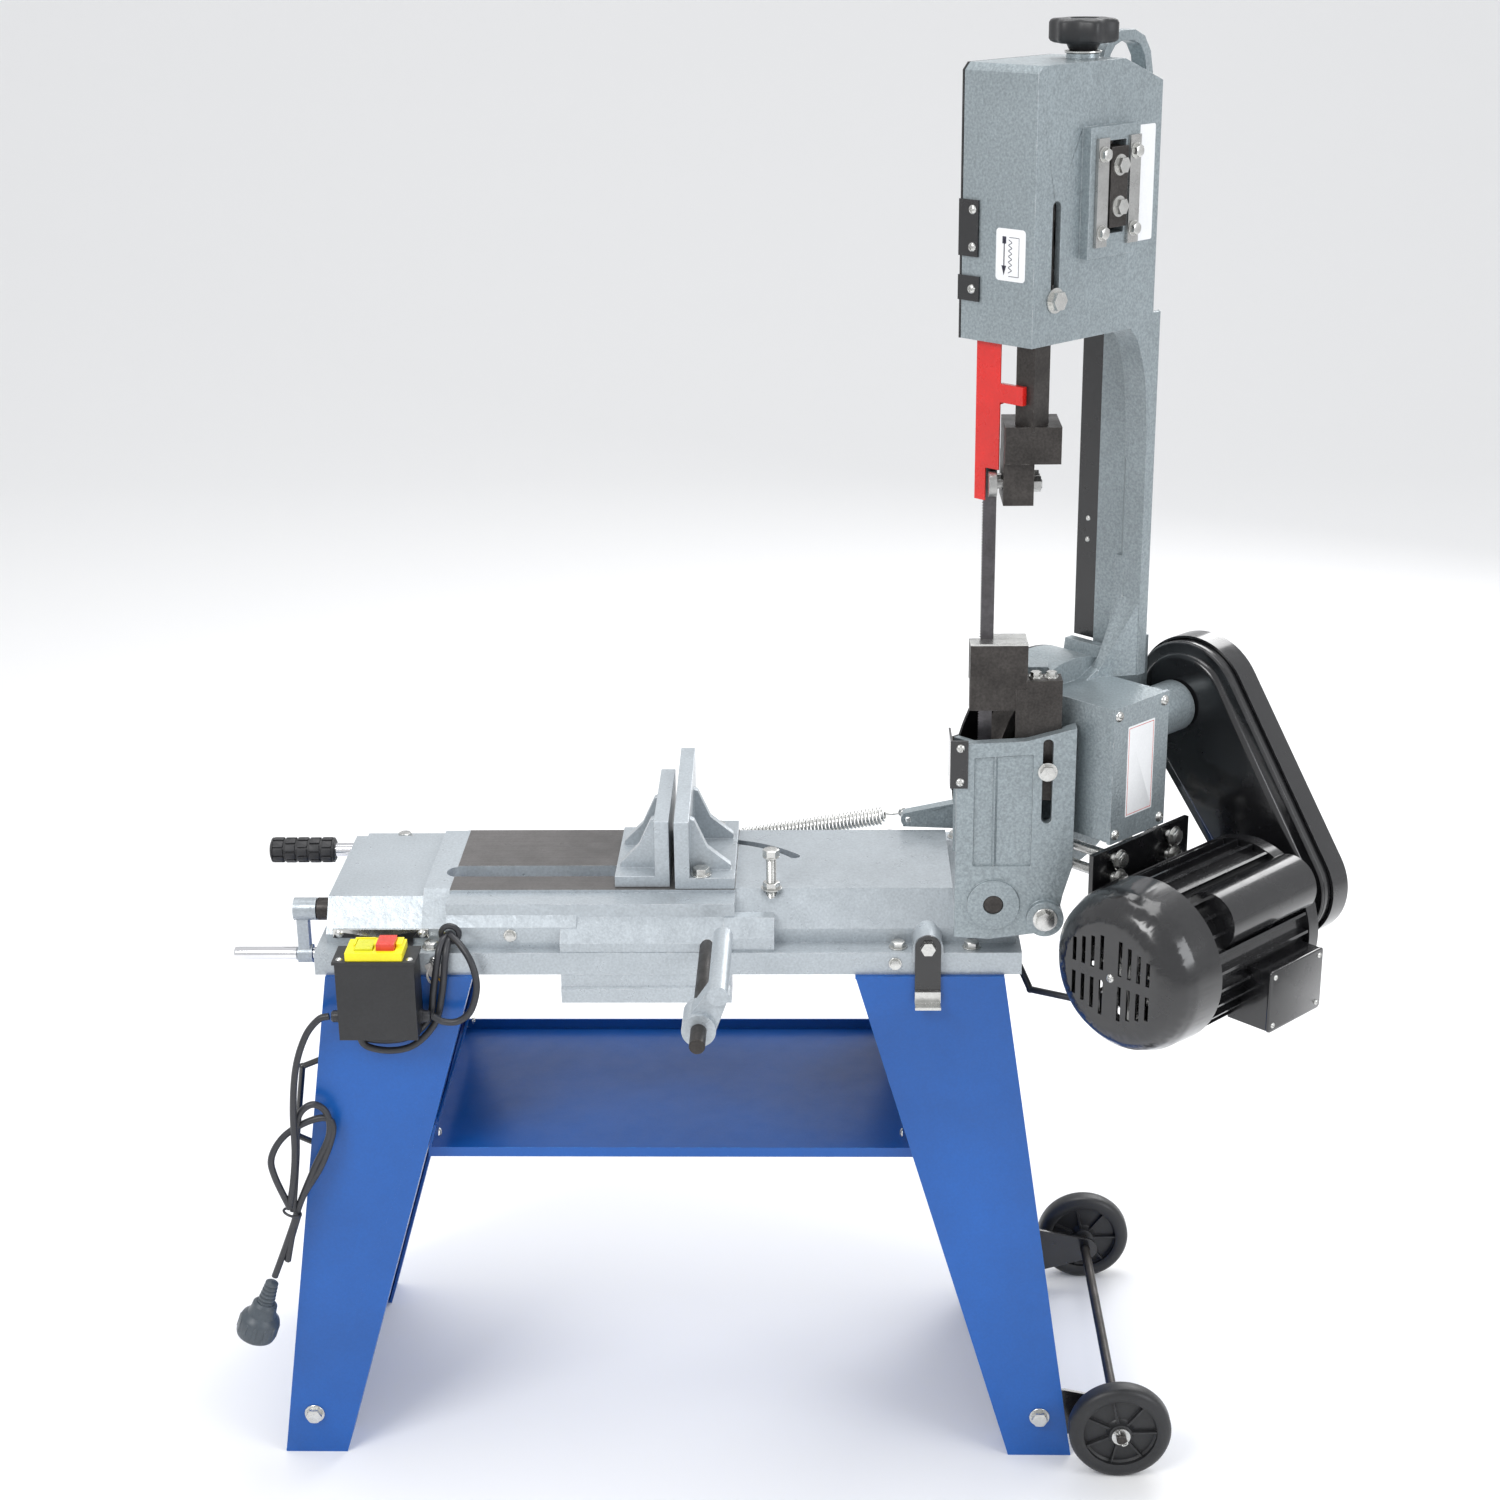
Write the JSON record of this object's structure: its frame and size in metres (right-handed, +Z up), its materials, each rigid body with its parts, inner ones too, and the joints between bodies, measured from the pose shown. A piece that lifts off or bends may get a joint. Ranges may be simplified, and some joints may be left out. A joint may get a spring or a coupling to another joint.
{
  "type": "horizontal band saw",
  "caption": "Horizontal metal-cutting band saw on a blue sheet-metal stand, with a hinged saw arm, vise, chip tray, motor drive and transport wheels.",
  "frame": {"origin": "on the floor at the middle of the stand", "axes": "+X along the bed towards the arm pivot, +Y away from the operator, +Z up; the arm is raised at rest"},
  "size_m": [1.0598, 0.553, 1.372],
  "materials": {
    "blue_paint": "semi-gloss powder coat",
    "arm_casting": "hammered silver-grey paint",
    "bed_casting": "smooth silver-grey paint, machined table",
    "black_paint": "gloss black paint",
    "zinc_steel": "bright zinc plate",
    "dark_steel": "dark oiled steel",
    "chrome": "polished",
    "black_plastic": "moulded",
    "rubber_grip": "moulded blocks",
    "cable_rubber": "smooth",
    "plug_plastic": "moulded",
    "red_paint": "gloss red paint",
    "yellow_plastic": "moulded",
    "green_plastic": "moulded",
    "red_plastic": "moulded",
    "bronze": "machined",
    "pulley_alloy": "machined",
    "blade_steel": "oiled spring steel"
  },
  "bodies": {
    "stand": {"left_leg": "blue_paint", "right_leg": "blue_paint", "chip_tray": "blue_paint", "stand_bolts": "zinc_steel", "wheel_axle": "dark_steel", "wheel_brackets": "black_paint", "cable_hook": "black_paint", "bed": "bed_casting", "hinge_pin": "dark_steel", "travel_stop_bolt": "zinc_steel", "latch_strap": "black_paint", "lift_handle": "chrome", "lift_grip": "rubber_grip", "counter_spring": "zinc_steel", "switch_box": "black_plastic", "switch_body": "yellow_plastic", "mains_cable": "cable_rubber", "mains_plug": "plug_plastic", "motor_cable": "cable_rubber"},
    "near_wheel": {"near_wheel": "black_plastic"},
    "far_wheel": {"far_wheel": "black_plastic"},
    "start_button": {"start_button": "green_plastic"},
    "stop_button": {"stop_button": "red_plastic"},
    "vise_screw": {"vise_screw": "dark_steel", "vise_crank": "bed_casting"},
    "crank_handle": {"crank_handle": "chrome"},
    "movable_jaw": {"movable_jaw": "bed_casting", "vise_nut": "zinc_steel"},
    "fixed_jaw": {"fixed_jaw": "bed_casting", "fixed_jaw_bolts": "zinc_steel"},
    "stop_rod": {"stop_rod": "dark_steel"},
    "stop_arm": {"stop_arm": "bed_casting"},
    "saw_arm": {"arm_casting": "arm_casting", "saw_blade": "blade_steel", "wheel_cover": "black_paint", "return_guard": "black_paint", "gearbox_cover": "arm_casting", "arm_screws": "zinc_steel", "gib_plates": "zinc_steel", "shaft_bearings": "bronze", "drive_belt": "rubber_grip", "pulley_case": "black_paint"},
    "idler_slide": {"idler_slide": "dark_steel"},
    "idler_wheel": {"idler_wheel": "dark_steel"},
    "tension_knob": {"tension_knob": "black_plastic"},
    "upper_guide": {"upper_guide_bar": "dark_steel", "upper_guide_bearings": "zinc_steel", "blade_guard": "red_paint"},
    "lower_guide": {"lower_guide": "dark_steel"},
    "drive_wheel": {"drive_wheel": "dark_steel", "drive_shaft": "zinc_steel", "worm_gear": "bronze"},
    "worm": {"worm_shaft": "zinc_steel", "worm_pulley": "pulley_alloy"},
    "motor": {"motor_plate": "black_paint", "motor_housing": "black_paint", "fan_cowl": "black_paint"},
    "rotor": {"motor_rotor": "zinc_steel", "motor_pulley": "pulley_alloy"},
    "pulley_lid": {"pulley_lid": "black_paint"}
  },
  "joints": [
    {"name": "arm_pivot", "type": "hinge", "parent": "stand", "child": "saw_arm", "pos_m": [0.303, 0, 0.603], "axis": [0, 1, 0], "range_deg": [-90, 0], "deforming": ["counter_spring", "motor_cable"]},
    {"name": "near_wheel_spin", "type": "hinge", "parent": "stand", "child": "near_wheel", "pos_m": [0.437, -0.181, 0.05], "axis": [0, 1, 0], "continuous": true},
    {"name": "far_wheel_spin", "type": "hinge", "parent": "stand", "child": "far_wheel", "pos_m": [0.437, 0.181, 0.05], "axis": [0, 1, 0], "continuous": true},
    {"name": "start_press", "type": "slide", "parent": "stand", "child": "start_button", "axis": [0, 0, -1], "range_m": [0, 0.003]},
    {"name": "stop_press", "type": "slide", "parent": "stand", "child": "stop_button", "axis": [0, 0, -1], "range_m": [0, 0.003]},
    {"name": "vise_crank_turn", "type": "hinge", "parent": "stand", "child": "vise_screw", "pos_m": [-0.34, -0.058, 0.552], "axis": [1, 0, 0], "range_deg": [0, 12960]},
    {"name": "crank_handle_spin", "type": "hinge", "parent": "vise_screw", "child": "crank_handle", "pos_m": [-0.36, -0.058, 0.505], "axis": [1, 0, 0], "continuous": true},
    {"name": "vise_jaw_slide", "type": "slide", "parent": "stand", "child": "movable_jaw", "axis": [-1, 0, 0], "range_m": [0, 0.1441]},
    {"name": "fixed_jaw_swivel", "type": "hinge", "parent": "stand", "child": "fixed_jaw", "pos_m": [0.034, -0.093, 0.591], "axis": [0, 0, 1], "range_deg": [-45, 0]},
    {"name": "stop_rod_slide", "type": "slide", "parent": "stand", "child": "stop_rod", "axis": [0, 1, 0], "range_m": [-0.03, 0.04]},
    {"name": "stop_arm_turn", "type": "hinge", "parent": "stop_rod", "child": "stop_arm", "pos_m": [0.041, -0.3, 0.552], "axis": [0, 1, 0], "range_deg": [-90, 90]},
    {"name": "blade_tension", "type": "slide", "parent": "saw_arm", "child": "idler_slide", "axis": [0, 0, 1], "range_m": [-0.0046, 0.0001]},
    {"name": "tension_knob_turn", "type": "hinge", "parent": "saw_arm", "child": "tension_knob", "pos_m": [0.36679, -0.09874, 1.36], "axis": [0, 0, 1], "range_deg": [-1080, 0]},
    {"name": "idler_wheel_spin", "type": "hinge", "parent": "idler_slide", "child": "idler_wheel", "pos_m": [0.3576, -0.0754, 1.238], "axis": [0.7071, -0.7071, 0], "continuous": true},
    {"name": "upper_guide_slide", "type": "slide", "parent": "saw_arm", "child": "upper_guide", "axis": [0, 0, 1], "range_m": [0, 0.064]},
    {"name": "lower_guide_slide", "type": "slide", "parent": "saw_arm", "child": "lower_guide", "axis": [0, 0, 1], "range_m": [-0.01, 0.015]},
    {"name": "drive_wheel_spin", "type": "hinge", "parent": "saw_arm", "child": "drive_wheel", "pos_m": [0.3576, -0.0754, 0.71], "axis": [0.7071, -0.7071, 0], "continuous": true},
    {"name": "worm_spin", "type": "hinge", "parent": "saw_arm", "child": "worm", "pos_m": [0.39861, -0.11641, 0.75], "axis": [0.7071, 0.7071, 0], "continuous": true},
    {"name": "motor_adjust", "type": "slide", "parent": "saw_arm", "child": "motor", "axis": [0.7071, -0.7071, 0], "range_m": [0, 0.006], "deforming": ["drive_belt"]},
    {"name": "motor_spin", "type": "hinge", "parent": "motor", "child": "rotor", "pos_m": [0.48134, -0.19914, 0.584], "axis": [0.7071, 0.7071, 0], "continuous": true},
    {"name": "pulley_lid_hinge", "type": "hinge", "parent": "saw_arm", "child": "pulley_lid", "pos_m": [0.46013, 0.00733, 0.7117], "axis": [-0.4303, 0.4303, 0.7936], "range_deg": [0, 100]}
  ],
  "couplings": [
    {"joint": "worm_spin", "follows": "motor_spin", "ratio": 0.55556},
    {"joint": "drive_wheel_spin", "follows": "motor_spin", "ratio": 0.018519},
    {"joint": "idler_wheel_spin", "follows": "motor_spin", "ratio": 0.018519},
    {"joint": "vise_jaw_slide", "follows": "vise_crank_turn", "m_per_rad": 0.00063662},
    {"joint": "blade_tension", "follows": "tension_knob_turn", "m_per_rad": 0.00023873}
  ]
}
